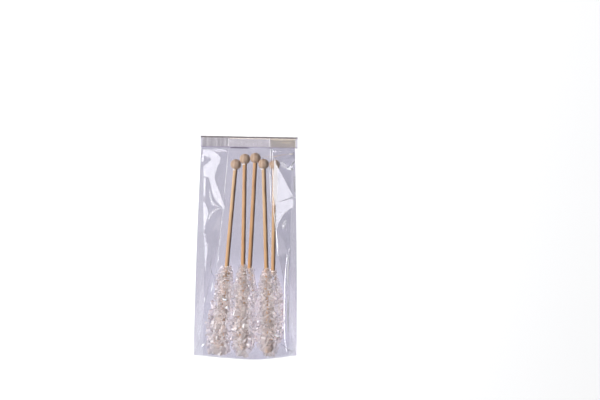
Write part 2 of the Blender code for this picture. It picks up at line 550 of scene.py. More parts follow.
# The pleats' upper leaves have crumpled into facets. Each row of a facet says, at a distance from the
# bottom, between which two distances in from the side edge it lies, all in millimetres. A facet leans one
# way all over, and a later one lies over an earlier. Between the facets the leaf leans as UNLIT says, with
# a sharp bend at OPEN_FROM, below which the pleat is open and the leaf falls away steeply.
LEANS = {  # rise to the right: lit mirrors the left soft box whole, half its edge, dim hardly any of it
    -1: {"lit": 0.20, "half": 0.142, "dim": 0.112},
    1: {"lit": 0.265, "half": 0.197, "dim": 0.17},
}
UNLIT = {  # millimetres over the bottom, rise to the right
    -1: ((0, 0.04), (181, 0.04)),
    1: ((0, 0.10), (136.5, 0.10), (138.5, -0.09), (181, -0.09)),
}
OPEN_FROM = {-1: 107.5, 1: 86.5}
FACET_EDGE = 0.5 * MM
LEAF_REACH = 25 * MM
LEAF_STEP = 0.5 * MM
SLACK = (0.35, 0.02)  # how firmly the leaf keeps its lean between the facets, across and along
FIRM = (1.0, 0.25)  # and inside them
STEEPEST_DROP = 0.45  # the least that an open leaf falls away
LEAF_FLOOR = 0.62  # the leaf comes down no further than this share of the side's height
LEAF_CLOSES = (0.99, 1.0)  # towards the mouth the leaf comes to lie flat
SETTLING = 1500  # rounds of settling the leaf's shape
NEVER_ZERO = 1e-30

LEFT_FACETS = (
    ("lit", ((46, 7.2, 8.3), (50, 7.2, 8.3))),
    ("lit", ((56, 13, 13.8), (58, 13, 14.5), (62, 14, 15))),
    ("lit", ((71, 7.5, 9), (83, 6.5, 9), (91, 6, 10), (95, 6, 10), (100, 5.5, 8), (106, 5.5, 7))),
    ("lit", ((109, 5, 6), (114, 5, 7), (120, 4.5, 8.5), (124, 4.5, 9), (129, 4, 7.5), (133, 4, 5))),
    ("lit", ((138, 4, 5), (141, 4, 5.5), (147, 3.5, 5.5), (154, 3, 5))),
    ("half", ((121, 9.5, 10.5), (122.5, 9, 11.5), (124, 9.5, 13), (127, 11.5, 16.5), (129, 14, 18.5))),
    ("half", ((130, 12, 16.5), (132.5, 10.5, 13.5), (135, 9.5, 11.5), (140, 9.5, 10.5))),
    ("lit", ((127.5, 21.5, 23), (129.5, 20, 23), (131.5, 18, 22.5), (135, 14.5, 21), (138, 12.5, 19.5),
             (144, 10.5, 17), (147, 10, 16), (150, 9.5, 14.5), (153, 8, 13.5), (154.5, 7.5, 13),
             (155.5, 3, 13), (159, 3, 13.5), (164, 2.5, 15), (165.5, 3.5, 15.5), (167, 7, 16.5),
             (168.5, 10, 17))),
    ("lit", ((168.5, 1, 17), (170, 1, 17.5), (171.5, 1, 17.5), (173, 1, 16.5), (174.5, 1, 15.5),
             (176, 1, 13), (177.5, 1, 10.5), (179, 1, 7), (181, 1, 4))),
    ("dim", ((168, 9, 10), (168.5, 3, 10), (169.5, 2, 11), (171.5, 2, 9.5), (173, 2, 7), (174, 2, 3))),
)
RIGHT_FACETS = (
    ("lit", ((88, 16, 17), (97, 16, 18), (101, 16.5, 18), (106, 17, 18), (110, 17, 18))),
    ("lit", ((110.5, 17, 18), (112, 16.5, 18), (115, 15.5, 18.5), (118, 14, 18.5), (121, 12.5, 18.5),
             (124, 10, 18), (126, 8, 18), (127.5, 5.5, 18), (129.5, 2, 18), (133, 1.5, 17),
             (137, 1.5, 17.5))),
    ("lit", ((138, 1.5, 18), (140, 1, 18), (142, 2.5, 18), (148, 6.5, 18), (154, 9.5, 17.5),
             (160, 12.5, 17.5), (164, 14.5, 19), (167.5, 16, 19), (170.5, 17, 18.5), (172.5, 17.5, 18))),
    ("half", ((112, 18.5, 20.5), (166, 19, 21))),
    ("half", ((110.5, 10.5, 11.5), (112.5, 10, 12.5), (114, 10, 14), (115.5, 10, 11.5))),
    ("lit", ((162, 1.5, 2.5), (163, 1.5, 7.5), (164, 2, 7), (164.5, 2, 5.5), (166.5, 1, 3), (169, 0, 0.5))),
    ("half", ((164.5, 8.5, 10), (166.5, 7.5, 11), (168, 6.5, 11.5), (170, 10.5, 13))),
)


def half_width(share):
    spread = mix(HALF_WIDTH_MOUTH, HALF_WIDTH_BOTTOM, (1 - share) ** SPREAD_POWER)
    return spread + SIDE_BULGE * np.sin(math.pi * share)


def middle_height(share):
    return mix(FRONT_AT_MOUTH, FULL_HEIGHT, (1 - share) ** MIDDLE_POWER)


def edge_height(share):
    return mix(FRONT_AT_MOUTH, EDGE_HEIGHT, (1 - share) ** EDGE_POWER)


def back_height(share):
    return mix(BACK_LIFT, BACK_AT_MOUTH, smooth_step(BACK_RISE_START, 1.0, share))


def tuck(share, side):
    levels, depths = zip(*TUCKS[side])
    return float(np.interp(share * BAG_LENGTH / MM, levels, depths)) * MM


def ridges(x, y):
    """The long shallow ridges that the stretched front panel keeps."""
    relief = 0.0
    for high, pitch, phase, wander, stretch in UNDULATION:
        relief = relief + high * np.sin(x / pitch + phase + wander * np.sin(y / stretch))
    return relief


def crease_softness(side, height):
    """How round the crease on one side of the front panel is, at a height in millimetres."""
    soft = 0.0
    for low, high in CREASE_STREAKS[side]:
        middle, half = (low + high) / 2, (high - low) / 2
        soft = max(soft, max(0.0, 1 - ((height - middle) / half) ** 2) ** 0.5)
    return mix(HARD_CREASE, SOFT_CREASE, soft)


def front_columns(share):
    """Where the front panel's points lie across it, so that its creases run along columns of points."""
    wide = float(half_width(share))
    left = np.linspace(-wide, CREASES[0], SLOPE_COLUMNS + 1)[:-1]
    panel = np.linspace(*CREASES, PANEL_COLUMNS)
    right = np.linspace(CREASES[1], wide, SLOPE_COLUMNS + 1)[1:]
    return np.concatenate((left, panel, right))


def panel_drop(share, x):
    """How much of the way from the middle's height to the edges' the panel has come down, 0 to 1."""
    wide = half_width(share)
    height = share * BAG_LENGTH / MM
    drop = ARCH * np.clip(np.abs(x) / wide, 0, 1) ** 2
    for side, crease in zip((-1, 1), CREASES):
        past = side * (x - crease)
        soft = crease_softness(side, height)
        slope = (past + np.sqrt(past**2 + soft**2)) / 2
        drop = drop + (1 - ARCH) * slope / (wide - abs(crease))
    return np.clip(drop, 0, 1)


def bottom_outline(x):
    """The height of the fold between the front panel and the bottom."""
    middle, high = BOTTOM_PEAK
    reach = np.where(x < middle, HALF_WIDTH_BOTTOM + middle, HALF_WIDTH_BOTTOM - middle)
    out = np.clip(np.abs(x - middle) / reach, 0, 1)
    return mix(high, BOTTOM_CORNERS, out**BOTTOM_POWER)


def front_height(share, x):
    """The front panel: a gentle arch between its creases, rolled down along the bottom."""
    shape = mix(middle_height(share), edge_height(share), panel_drop(share, x))
    x = x * HALF_WIDTH_BOTTOM / half_width(share)
    flat = mix(middle_height(0), edge_height(0), panel_drop(0, x))
    roll = (flat - bottom_outline(x)) * np.exp(-share * BAG_LENGTH / ROLL)
    across = np.clip(np.abs(x) / HALF_WIDTH_BOTTOM, 0, 1)
    fade = np.clip(1 - across**4, 0, 1) * smooth_step(1.0, CROWN_FADE, share)
    return shape - roll + ridges(x, BOTTOM_Y + share * BAG_LENGTH) * fade


def leaning(height, inward, rows):
    """How far, 0 to 1, a place in from the side edge is inside a facet."""
    levels, nears, fars = np.array(rows).T * MM
    near, far = np.interp(height, levels, nears), np.interp(height, levels, fars)
    half = FACET_EDGE / 2
    inside = smooth_step(near - half, near + half, inward) * smooth_step(far + half, far - half, inward)
    ends = smooth_step(levels[0] - FACET_EDGE, levels[0], height)
    ends *= smooth_step(levels[-1] + FACET_EDGE, levels[-1], height)
    return inside * ends


def opened_lean(share, side):
    """How steeply the leaf of an open pleat falls away from the front panel."""
    depth = max(tuck(share, side), 1 * MM)
    return max(0.5 * (edge_height(share) - back_height(share)) / depth, STEEPEST_DROP)


def leaf_relief(side, facets):
    """The heights of a pleat's upper leaf over its side edge, by row up the bag and by step in."""
    heights = np.linspace(0, BAG_LENGTH, BAG_ROWS)
    inward = np.arange(0, LEAF_REACH, LEAF_STEP)
    levels, leans = zip(*UNLIT[side])
    unlit = np.interp(heights / MM, levels, leans)
    lean = np.zeros((len(heights), len(inward)))
    firm = np.zeros_like(lean)
    for r, height in enumerate(heights):
        opened = opened_lean(height / BAG_LENGTH, side)
        lean[r] = -opened if height < OPEN_FROM[side] * MM else -side * unlit[r]
        for kind, rows in facets:
            inside = leaning(height, inward, rows)
            # going in from the left edge is going right, and from the right edge left
            lean[r] = mix(lean[r], -side * LEANS[side][kind], inside)
            firm[r] = np.maximum(firm[r], inside)
    across = mix(SLACK[0], FIRM[0], firm)
    along = mix(SLACK[1], FIRM[1], firm) * (LEAF_STEP / heights[1]) ** 2
    along[np.abs(heights - OPEN_FROM[side] * MM) < heights[1]] = 0
    flat = smooth_step(*LEAF_CLOSES[::-1], heights / BAG_LENGTH)
    return settled(lean, across, along, LEAF_STEP) * flat[:, None]


def settled(lean, across, along, step_in):
    """The surface, zero along its first column, whose slopes come closest to the leans wanted.

    It is found by conjugate gradients.
    """
    across = (across[:, 1:] + across[:, :-1]) / 2
    along = np.minimum(along[1:], along[:-1])
    wanted = (lean[:, 1:] + lean[:, :-1]) / 2 * step_in

    def spread(surface):
        pull = np.zeros_like(surface)
        flow = across * (surface[:, 1:] - surface[:, :-1])
        pull[:, 1:] += flow
        pull[:, :-1] -= flow
        flow = along * (surface[1:] - surface[:-1])
        pull[1:] += flow
        pull[:-1] -= flow
        pull[:, 0] = surface[:, 0]
        return pull

    goal = np.zeros_like(lean)
    goal[:, 1:] += across * wanted
    goal[:, :-1] -= across * wanted
    goal[:, 0] = 0
    surface = np.zeros_like(lean)
    rest = goal.copy()
    way = rest.copy()
    size = (rest * rest).sum()
    for _ in range(SETTLING):
        pulled = spread(way)
        pulled[:, 0] = 0
        stride = size / max((way * pulled).sum(), NEVER_ZERO)
        surface += stride * way
        rest -= stride * pulled
        new_size = (rest * rest).sum()
        way = rest + way * (new_size / max(size, NEVER_ZERO))
        way[:, 0] = 0
        size = new_size
    return surface


RELIEFS = {-1: leaf_relief(-1, LEFT_FACETS), 1: leaf_relief(1, RIGHT_FACETS)}


def pleat(share, side):
    """One side's points from the front panel's edge in to the crease and out to the back panel's."""
    wide, low = half_width(share), back_height(share)
    high = float(front_height(share, np.array(side * wide)))
    depth = tuck(share, side)
    row = min(int(round(share * (BAG_ROWS - 1))), BAG_ROWS - 1)
    relief = RELIEFS[side][row]
    inward = np.linspace(0, 1, LEAF_COLUMNS + 2)[1:] * depth
    rise = np.interp(inward, np.arange(len(relief)) * LEAF_STEP, relief)
    rise = np.maximum(rise, -LEAF_FLOOR * (high - low))
    upper = [(side * (wide - t), high + r) for t, r in zip(inward, rise)]
    crease_x, crease_z = upper.pop()
    radius = min(PLEAT_FOLD, (crease_z - low) * 0.3)
    tip = []
    for i in range(FOLD_COLUMNS):
        turn = math.pi * i / (FOLD_COLUMNS - 1)
        tip.append((crease_x - side * radius * math.sin(turn), crease_z - radius * (1 - math.cos(turn))))
    end_z = tip[-1][1]
    lower = []
    flare = BACK_FLARE * (high - low)
    for t in np.linspace(1, 0, LOWER_COLUMNS + 2)[1:-1]:
        bow = LOWER_BOW * (end_z - low) * math.sin(math.pi * t)
        lower.append((side * (wide + flare - t * (depth + flare)), mix(low, end_z, t) - bow))
    return upper + tip + lower


def bag_ring(share, y):
    """The film all round at one station: front panel, right pleat, back panel, left pleat."""
    wide = float(half_width(share))
    front_x = front_columns(share)
    front_z = front_height(share, front_x)
    low = float(back_height(share))
    flare = BACK_FLARE * (float(edge_height(share)) - low)
    back_x = np.linspace(wide + flare, -wide - flare, BACK_COLUMNS)
    ring = [(x, y, z) for x, z in zip(front_x, front_z)]
    ring += [(x, y, z) for x, z in pleat(share, 1)]
    ring += [(x, y, low) for x in back_x]
    ring += [(x, y, z) for x, z in reversed(pleat(share, -1))]
    return np.array(ring)


FRONT, PLEAT, BACK, BOTTOM = range(4)  # the film's surfaces


def bag_film():
    """The film, from the middle of its flat bottom to the end of the tongue inside the strip."""
    rings = []
    first = bag_ring(0.0, BOTTOM_Y)
    centre = np.array((0, BOTTOM_Y, first[:, 2].mean()))
    for i in range(1, BOTTOM_RINGS + 1):
        share = i / (BOTTOM_RINGS + 1)
        ring = centre + (first - centre) * share
        ring[:, 1] = BOTTOM_Y
        rings.append(ring)
    for i in range(BAG_ROWS):
        share = i / (BAG_ROWS - 1)
        rings.append(bag_ring(share, BOTTOM_Y + share * BAG_LENGTH))
    for i in range(1, TONGUE_ROWS + 1):
        rings.append(bag_ring(1.0, mix(MOUTH_Y, TONGUE_Y, i / TONGUE_ROWS)))
    columns = len(first)
    pleat_columns = [PLEAT] * (LEAF_COLUMNS + FOLD_COLUMNS + LOWER_COLUMNS + 1)
    kinds = [FRONT] * (FRONT_COLUMNS - 1) + pleat_columns
    kinds += [BACK] * (BACK_COLUMNS - 1) + pleat_columns
    slots = [BOTTOM] * (BOTTOM_RINGS * columns) + kinds * (len(rings) - 1 - BOTTOM_RINGS)
    slots += [BOTTOM, PLEAT]
    materials = [
        film_material("film_front", (0.955, 0.953, 0.965), 0.07),
        film_material("film_pleat", (0.95, 0.945, 0.955), 0.065),
        film_material("film_back", BACK_TINT, 0.05),
        film_material("film_bottom", BACK_TINT, 0.05, edge=0.5),
    ]
    faces = closed_faces(len(rings), columns)
    dress(add_mesh("bag_film", np.concatenate(rings), faces, materials, slots), "clear_film", "bag")


# ---------------------------------------------------------------------------------------------------
# The strip folded over the mouth: its fold and its hem are dark lines of painted shade, a painted highlight
# runs under the fold, and its ends are clear tabs.

STRIP_WALL = 0.45 * MM
STRIP_FOLD_ROWS = 8
STRIP_LOW_Y = strip_low.y + STRIP_UP
STRIP_HIGH_Y = strip_high.y + STRIP_UP
HEM_HEIGHT = 0.8 * MM
GLEAM_HEIGHT = 0.7 * MM  # a painted highlight under the fold
FILM, FOLD_SHADE, HEM_SHADE, GLEAM, TAB = range(5)  # the strip's surfaces
TAB_WIDTH = 1.6 * MM
RIB_PITCH = 1.1 * MM
RIB_DEPTH = 0.04 * MM
PLAIN_FROM, PLAIN_TO = -16.5 * MM, 21.5 * MM  # between the pleats inside it the strip is smooth
HEM_BAR = (-15.5 * MM, 0.5 * MM)  # the tongue's own hem shows under the strip here, as a dark bar of painted shade
HEM_BAR_EDGES = (0.9 * MM, 0.3 * MM, 0.9 * MM)  # below and above the strip's hem, and over the film
# painted highlights: pale bars on the strip over the pleats' folds
FOLD_HIGHLIGHTS = (("left_fold_highlight", -17.4 * MM), ("right_fold_highlight", 18.6 * MM))
# painted warm reflections: golden streaks across the strip under its fold
WARM_REFLECTION_MARKS = (  # name, from, to, and how far under the fold
    ("warm_reflection_streak_1", 21 * MM, 40 * MM, 2.4 * MM),
    ("warm_reflection_streak_2", 29 * MM, 38 * MM, 4.6 * MM),
)
CORNER_SIZE = 0.9 * MM
BAR_LIFT = 0.15 * MM  # how far the bars lie over the strip
BAR_HALF = 0.12 * MM  # half as thick as they are
BAR_INSET = (0.9 * MM, 1.2 * MM)  # how far the fold marks stop short of the strip's two edges
BAR_WIDTH = 0.4 * MM
STREAK_WIDTH = 0.5 * MM


def strip_rows(thick, top_y, low_y):
    """The side of the folded strip, from its back, round the fold, to its front.

    Each row is (y, z, the surface from there to the next row).
    """
    radius = thick / 2
    straight = top_y - radius
    levels = [low_y, low_y + HEM_HEIGHT, mix(low_y, straight, 0.5), straight - GLEAM_HEIGHT]
    places = [(y, -radius) for y in levels]
    for i in range(STRIP_FOLD_ROWS + 1):
        turn = math.pi * i / STRIP_FOLD_ROWS
        places.append((straight + radius * math.sin(turn), -radius * math.cos(turn)))
    places += [(y, radius) for y in reversed(levels)]
    surfaces = [HEM_SHADE, FILM, FILM, GLEAM] + [FOLD_SHADE] * STRIP_FOLD_ROWS
    surfaces += [GLEAM, FILM, FILM, HEM_SHADE, HEM_SHADE]
    return [(y, z, surface) for (y, z), surface in zip(places, surfaces)]


def seal_strip():
    """The folded film with its own thickness, ribbed over the pleats inside it."""
    thick = strip_high.z - strip_low.z
    outer = strip_rows(thick, STRIP_HIGH_Y, STRIP_LOW_Y)
    inner = strip_rows(thick - 2 * STRIP_WALL, STRIP_HIGH_Y - STRIP_WALL, STRIP_LOW_Y)
    step = RIB_PITCH / 4
    stations = np.append(np.arange(strip_low.x, strip_high.x, step), strip_high.x)
    rings = []
    for x in stations:
        smooth = PLAIN_FROM < x < PLAIN_TO
        rib = 0 if smooth else RIB_DEPTH * (0.5 - 0.5 * math.cos(2 * math.pi * x / RIB_PITCH))
        ring = [(x, y, MOUTH_HEIGHT + z - math.copysign(rib, z)) for y, z, _ in outer]
        ring += [(x, y, MOUTH_HEIGHT + z) for y, z, _ in reversed(inner)]
        rings.append(ring)
    kinds = [surface for _, _, surface in outer] + [FILM] * len(inner)
    slots = []
    for x in stations[:-1]:
        tab = x < strip_low.x + TAB_WIDTH or x > strip_high.x - TAB_WIDTH - step
        plain = [FILM if kind == GLEAM and x < PLAIN_FROM else kind for kind in kinds]
        slots += [TAB if tab and kind in (FILM, GLEAM) else kind for kind in plain]
    slots += [TAB, TAB]
    surfaces = [
        strip_material(),
        # painted shade along the fold and along the hem
        veil_material("fold_shade", (0.62, 0.58, 0.60), (0.15, 0.13, 0.14), 0.75, 0.2),
        veil_material("hem_shade", (0.80, 0.77, 0.86), (0.36, 0.33, 0.42), 0.35, 0.15),
        # painted highlight under the fold
        veil_material("fold_gleam", (0.99, 0.98, 0.96), (0.98, 0.88, 0.76), 0.45, 0.15),
        veil_material("clear_tab", (0.90, 0.89, 0.92), (0.62, 0.61, 0.66), 0.45, 0.08),
    ]
    faces = closed_faces(len(rings), len(rings[0]))
    piece = add_mesh("pressed_strip", np.concatenate(rings), faces, surfaces, slots)
    dress(piece, "seal_strip", "seal_strip")


def strip_bar(name, low_x, high_x, low_y, high_y, z, surface):
    """A flat pressed fold, a quarter of a millimetre thick, on or beside the strip."""
    middle = (low_y + high_y) / 2
    section = ((low_y, z), (middle, z + BAR_HALF), (high_y, z), (middle, z - BAR_HALF))
    points = [(x, *place) for x in (low_x, high_x) for place in section]
    dress(add_mesh(name, points, closed_faces(2, len(section)), [surface]), "seal_strip", "seal_strip")


def strip_bars():
    """What is pressed into the strip: the tongue's hem as a dark bar of painted shade, pale bars of painted
    highlight on the pleats' folds, golden streaks of painted warm reflection, and dark corners.
    """
    dark = veil_material("hem_bar_shade", (0.6, 0.57, 0.64), (0.16, 0.14, 0.19), 0.95, 0.2)
    pale = veil_material("strip_fold_highlight", (1, 1, 1), (0.78, 0.76, 0.79), 0.8, 0.1)
    over = strip_high.z + BAR_LIFT
    below, above, lift = HEM_BAR_EDGES
    # painted shade: a dark bar along part of the strip's lower edge
    strip_bar("tongue_hem", *HEM_BAR, STRIP_LOW_Y - below, STRIP_LOW_Y + above, FRONT_AT_MOUTH + lift, dark)
    low, high = STRIP_LOW_Y + BAR_INSET[0], STRIP_HIGH_Y - BAR_INSET[1]
    for name, x in FOLD_HIGHLIGHTS:
        strip_bar(name, x - BAR_WIDTH / 2, x + BAR_WIDTH / 2, low, high, over, pale)
    gold = veil_material("warm_reflection_streak", (1, 0.98, 0.95), (0.80, 0.66, 0.50), 0.25, 0.1)
    for name, low_x, high_x, under in WARM_REFLECTION_MARKS:
        high = STRIP_HIGH_Y - under
        strip_bar(name, low_x, high_x, high - STREAK_WIDTH, high, over, gold)
    end = strip_high.x
    for name, y in (("low_corner", STRIP_LOW_Y), ("high_corner", STRIP_HIGH_Y - CORNER_SIZE)):
        strip_bar(name, end - CORNER_SIZE, end, y, y + CORNER_SIZE, over, dark)


# ---------------------------------------------------------------------------------------------------
# Fine creases pressed into the front panel: the white, faint and warm ones are painted highlights, the dark
# ones painted shade, and a broad milky one over the fifth stick's ball is a painted highlight too.

CREASE_LIFT = 0.04 * MM
CREASE_DEPTH = 0.10 * MM
CREASE_POINTS = 24
CREASE_ENDS = 0.08  # how wide a crease still is at its ends, before it is rounded
CREASE_ROUND = 0.6

FINE_CREASES = (
    # kind, width, the places in millimetres (x, y) that the crease runs through
    ("white", 0.9, ((-28.9, -28.5), (-29.4, -33.0), (-30.3, -36.5))),
    ("white", 0.6, ((-35.4, -41.0), (-35.9, -46.0))),
    ("white", 0.9, ((-35.4, -80.6), (-37.9, -84.0))),
    ("white", 1.3, ((36.4, -8.0), (35.9, -20.0), (36.3, -32.0))),
    ("white", 1.6, ((36.2, -40.0), (36.4, -55.0), (36.5, -72.0))),
    ("dark", 0.6, ((26.5, 41.2), (32.0, 42.0), (38.7, 44.6))),
    ("faint", 3.4, ((33.6, 26.0), (31.8, 21.0), (31.0, 17.5))),
    ("white", 1.0, ((37.7, -4.0), (36.6, -5.4), (35.3, -7.5), (34.9, -11.0))),
    ("white", 0.4, ((-17.1, 85.7), (-18.4, 68.0), (-20.6, 41.0))),
    ("faint", 0.8, ((-20.9, 38.0), (-24.0, 0.0), (-26.0, -22.0))),
    ("faint", 1.8, ((-32.9, 50.5), (-32.1, 44.0), (-29.7, 38.9), (-24.5, 35.7))),
    ("faint", 2.2, ((-22.7, 35.0), (-27.9, 33.0), (-31.3, 29.6), (-33.6, 24.0))),
    ("haze", 4.2, ((23.0, 76.0), (23.9, 71.0), (24.0, 63.5), (23.9, 52.5), (24.2, 44.0), (24.3, 37.5))),
    ("white", 1.0, ((41.0, 62.4), (40.7, 55.5), (41.1, 47.7))),
    ("white", 2.0, ((33.7, 69.2), (36.7, 68.8), (39.9, 68.1))),
    ("white", 1.1, ((35.8, 70.1), (38.4, 72.1), (41.0, 75.4))),
    ("faint", 4.0, ((28.3, 74.6), (31.4, 71.7), (34.4, 69.6))),
    ("white", 0.8, ((24.9, 18.7), (26.1, 3.9), (26.9, -5.4))),
    ("white", 0.8, ((19.4, 85.5), (19.5, 80.0), (19.4, 76.0))),
    ("white", 0.7, ((21.3, 85.5), (21.4, 80.0), (21.4, 75.0))),
    ("white", 0.7, ((18.0, 70.0), (19.4, 60.0), (19.9, 50.0), (20.1, 38.0))),
    ("faint", 0.6, ((20.2, 40.0), (20.4, 20.0), (20.2, 0.0))),
    ("warm", 0.5, ((12.1, 78.7), (22.6, 79.1), (29.3, 80.6), (36.0, 81.4))),
    ("warm_white", 0.8, ((35.8, 81.4), (38.0, 81.5), (39.8, 81.5))),
    ("dark", 0.6, ((-29.8, -7.0), (-31.2, -15.0), (-29.9, -20.0), (-27.0, -25.5))),
    ("dark", 0.5, ((24.9, 43.0), (24.2, 40.5), (24.9, 38.5))),
    ("dark", 0.7, ((39.8, 45.6), (38.2, 44.8), (36.9, 42.5))),
    ("dark", 0.6, ((29.5, -80.0), (33.5, -82.5), (38.0, -87.0), (41.0, -89.0))),
    ("white", 0.6, ((33.0, -86.0), (37.0, -85.0), (40.5, -88.5))),
    ("faint", 0.8, ((38.0, -91.5), (41.0, -88.5), (43.5, -87.8))),
)


# white, faint, haze, warm and warm_white are painted highlights; dark is painted shade
CREASE_KINDS = (
    # kind, tint of what shows through, colour of its milky part, how milky, how scratched
    ("white", (1, 1, 1), (0.80, 0.80, 0.83), 0.75, 1.0),
    ("faint", (1, 1, 1), (0.62, 0.61, 0.66), 0.35, 1.0),
    ("haze", (1, 0.99, 1), (0.80, 0.78, 0.80), 0.52, 0.4),
    ("warm", (1, 0.98, 0.96), (0.66, 0.50, 0.38), 0.45, 1.0),
    ("warm_white", (1, 1, 1), (0.85, 0.78, 0.66), 0.8, 1.0),
    ("dark", (0.9, 0.89, 0.92), (0.22, 0.21, 0.26), 0.35, 1.0),
)
CREASE_ROUGHNESS = 0.1


def fine_crease(name, width, places, surface):
    """A thin tapering fold, closed all round, that lies on the front panel."""
    places = np.array(places) * MM
    steps = np.append(0, np.cumsum(np.hypot(*np.diff(places, axis=0).T)))
    shares = np.linspace(0, 1, CREASE_POINTS)
    xs, ys = (np.interp(shares * steps[-1], steps, places[:, i]) for i in (0, 1))
    along = np.gradient(np.array((xs, ys)), axis=1)
    along /= np.hypot(*along)
    low, high = CREASE_LIFT, CREASE_LIFT + CREASE_DEPTH
    points = []
    for x, y, (dx, dy), share in zip(xs, ys, along.T, shares):
        half = width * MM / 2 * max(math.sin(math.pi * share), CREASE_ENDS) ** CREASE_ROUND
        for out, lift in ((-half, low), (0, high), (half, low), (0, 0)):
            px, py = x - dy * out, y + dx * out
            panel = float(front_height((py - BOTTOM_Y) / BAG_LENGTH, np.array(px)))
            points.append((px, py, panel + lift + CREASE_LIFT))
    piece = add_mesh(name, points, closed_faces(CREASE_POINTS, 4), [surface], sharp=20.0)
    piece.visible_glossy = False  # so that it doesn't darken what the leaves below it mirror
    dress(piece, "clear_film", "bag")


def fine_creases():
    surfaces = {}
    for kind, tint, dull, share, scratched in CREASE_KINDS:
        surfaces[kind] = veil_material(f"crease_{kind}", tint, dull, share, CREASE_ROUGHNESS, scratched)
    for i, (kind, width, places) in enumerate(FINE_CREASES):
        fine_crease(f"crease_{i}", width, places, surfaces[kind])


# ---------------------------------------------------------------------------------------------------
# The sticks. Each stands in its own frame: the ball's centre is the origin and the stick runs down +Z.

BALL_RADIUS = 4.7 * MM
BALL_ROWS, BALL_SIDES = 30, 40
BALL_MARKS = 0.004  # how deep its turning marks are, as a share of its radius
BALL_FLAT = 0.985
DOWEL_RADIUS = 1.88 * MM
DOWEL_ROWS, DOWEL_SIDES = 64, 20
DOWEL_FROM = BALL_RADIUS * 0.5  # it starts inside the ball
DOWEL_SHORT = 3 * MM  # it ends so far inside the candy's bottom
DOWEL_BEND = (0.15 * MM, 0.45 * MM)
SKIN_ROWS, SKIN_SIDES = 90, 14  # the lumpy skin of the stick inside the candy
SKIN_FROM = 1.5 * MM  # it starts so far under the candy's top
SKIN_SHORT = 5 * MM
SKIN_SHARES = (1.06, 1.35)


class Stick:
    """One stick of candy. Places are millimetres in the bag's frame.

    The candy starts so far from the ball's centre. left, right and depth are how far it reaches from the
    stick to either side and towards the two panels, from its top to its bottom.
    """

    def __init__(self, name, ball, tip, start, left, right, depth):
        self.name = name
        self.ball = ball
        self.tip = tip
        self.start = start * MM
        self.sides = (left, right)
        self.depth = depth

    def reach(self, along, turn):
        """How far the candy reaches from the stick at a share of its length, to the left at turn 0."""
        across = self.sides[0] if math.cos(turn) > 0 else self.sides[1]
        wide, deep = (np.interp(along, np.linspace(0, 1, len(row)), row) for row in (across, self.depth))
        return float(mix(deep, wide, math.cos(turn) ** 2)) * MM


STICKS = (
    Stick(
        "1", (-10.6, 71.4, 7.6), (-22.2, -91.8, 22.0), 90.5,
        left=(5.0, 9.0, 8.6, 9.0, 10.3, 11.1, 14.0, 12.4, 13.2, 11.0),
        right=(4.0, 5.6, 6.9, 8.6, 7.8, 7.4, 7.0, 7.5, 7.8, 7.0),
        depth=(4.0, 5.5, 6.5, 7.0, 7.5, 8.0, 8.0, 8.5, 9.0, 8.0),
    ),
    Stick(
        "2", (-2.7, 76.3, 7.4), (-3.0, -91.5, 32.0), 94.0,
        left=(3.0, 6.3, 7.5, 9.2, 9.6, 10.5, 12.5, 11.5, 9.5, 4.5),
        right=(3.0, 5.0, 6.5, 8.0, 8.5, 9.0, 9.0, 9.0, 8.0, 6.0),
        depth=(3.0, 5.0, 6.5, 7.5, 8.0, 8.5, 9.0, 9.0, 7.5, 5.0),
    ),
    Stick(
        "3", (6.5, 77.2, 5.6), (0.1, -90.5, 14.0), 98.5,
        left=(4.0, 5.0, 6.0, 7.0, 7.5, 8.0, 8.0, 8.0, 7.0, 5.0),
        right=(3.5, 4.6, 6.8, 7.8, 8.4, 8.4, 9.6, 11.2, 10.8, 6.0),
        depth=(3.5, 5.0, 6.0, 7.0, 7.5, 8.0, 8.5, 8.5, 8.0, 6.0),
    ),
    Stick(
        "4", (13.7, 72.3, 9.2), (20.7, -92.0, 32.5), 92.5,
        left=(2.5, 6.6, 7.8, 8.4, 9.2, 9.4, 9.9, 10.2, 9.4, 5.2),
        right=(3.0, 6.0, 7.0, 8.0, 8.5, 9.0, 9.0, 9.5, 8.0, 5.5),
        depth=(3.0, 5.5, 6.5, 7.5, 8.0, 8.5, 9.0, 9.0, 8.5, 6.0),
    ),
    Stick(
        "5", (23.4, 71.4, 5.1), (23.3, -90.0, 13.0), 95.0,
        left=(3.5, 5.0, 6.0, 7.0, 7.5, 8.0, 8.0, 8.0, 7.0, 5.0),
        right=(3.0, 4.8, 7.3, 9.3, 10.2, 10.4, 10.6, 11.2, 8.0, 4.5),
        depth=(3.0, 5.0, 6.5, 7.0, 7.5, 8.0, 8.5, 8.5, 8.0, 6.0),
    ),
)


def stick_frame(ball, tip):
    start, end = Vector(ball) * MM, Vector(tip) * MM
    down = (end - start).normalized()
    side = down.cross(Vector((0, 0, 1))).normalized()
    turn = Matrix((side, down.cross(side), down)).transposed().to_4x4()
    return Matrix.Translation(start) @ turn, (end - start).length


def lathe(name, profile, sides, surface, sharp=40.0):
    """Turns (radius, height) points round Z; the first and the last lie on the axis."""
    points = [(0, 0, profile[0][1])]
    for radius, height in profile[1:-1]:
        for i in range(sides):
            turn = 2 * math.pi * i / sides
            points.append((radius * math.cos(turn), radius * math.sin(turn), height))
    points.append((0, 0, profile[-1][1]))
    rows = len(profile) - 2
    faces = [tuple(1 + v for v in face) for face in tube_faces(rows, sides)]
    last = len(points) - 1
    for i in range(sides):
        j = (i + 1) % sides
        faces.append((0, 1 + i, 1 + j))
        faces.append((last, last - sides + j, last - sides + i))
    return add_mesh(name, points, faces, [surface], sharp=sharp)


